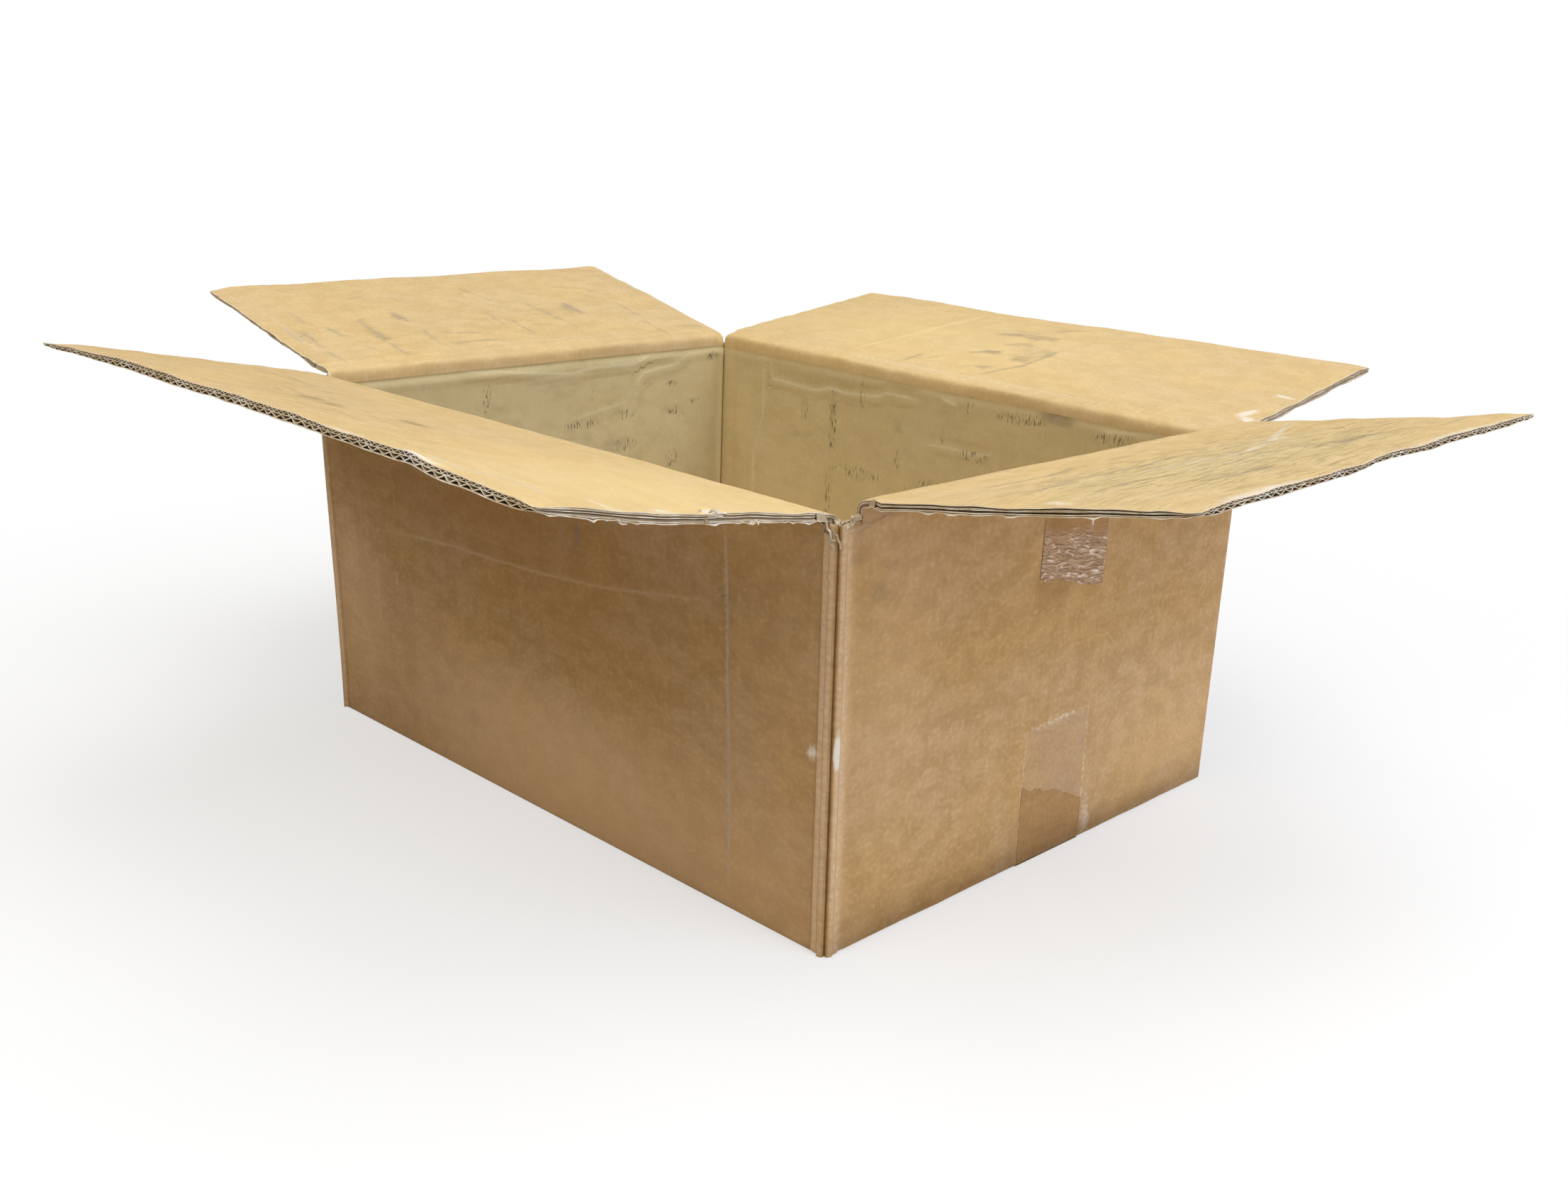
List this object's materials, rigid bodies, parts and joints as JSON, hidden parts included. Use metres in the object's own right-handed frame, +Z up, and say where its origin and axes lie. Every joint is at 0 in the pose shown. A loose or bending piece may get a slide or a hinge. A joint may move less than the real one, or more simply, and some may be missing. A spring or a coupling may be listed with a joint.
{
  "type": "open corrugated cardboard box",
  "caption": "Used double-wall corrugated shipping box, standing open with its top flaps folded outwards and its bottom flaps taped shut.",
  "frame": {"origin": "middle of the box's underside, on the floor it stands on", "axes": "+X along the box's long side, +Y along its width, +Z up"},
  "size_m": [0.6439, 0.5588, 0.2174],
  "materials": {
    "kraft_board": "matte kraft liner, used",
    "packing_tape": "thin clear film, slightly glossy"
  },
  "bodies": {
    "box": {"box_body": "kraft_board", "bottom_tape": "packing_tape", "tape_remnant": "packing_tape"},
    "front_flap": {"front_flap": "kraft_board"},
    "back_flap": {"back_flap": "kraft_board"},
    "left_flap": {"left_flap": "kraft_board"},
    "right_flap": {"right_flap": "kraft_board"}
  },
  "joints": [
    {"name": "front_flap_fold", "type": "hinge", "parent": "box", "child": "front_flap", "pos_m": [0, -0.142, 0.1802], "axis": [-1, 0, 0], "range_deg": [-85, 170]},
    {"name": "back_flap_fold", "type": "hinge", "parent": "box", "child": "back_flap", "pos_m": [0, 0.142, 0.1802], "axis": [1, 0, 0], "range_deg": [-85, 170]},
    {"name": "right_flap_fold", "type": "hinge", "parent": "box", "child": "right_flap", "pos_m": [0.185, 0, 0.1845], "axis": [0, -1, 0], "range_deg": [-85, 170]},
    {"name": "left_flap_fold", "type": "hinge", "parent": "box", "child": "left_flap", "pos_m": [-0.185, 0, 0.1845], "axis": [0, 1, 0], "range_deg": [-87, 168]}
  ]
}
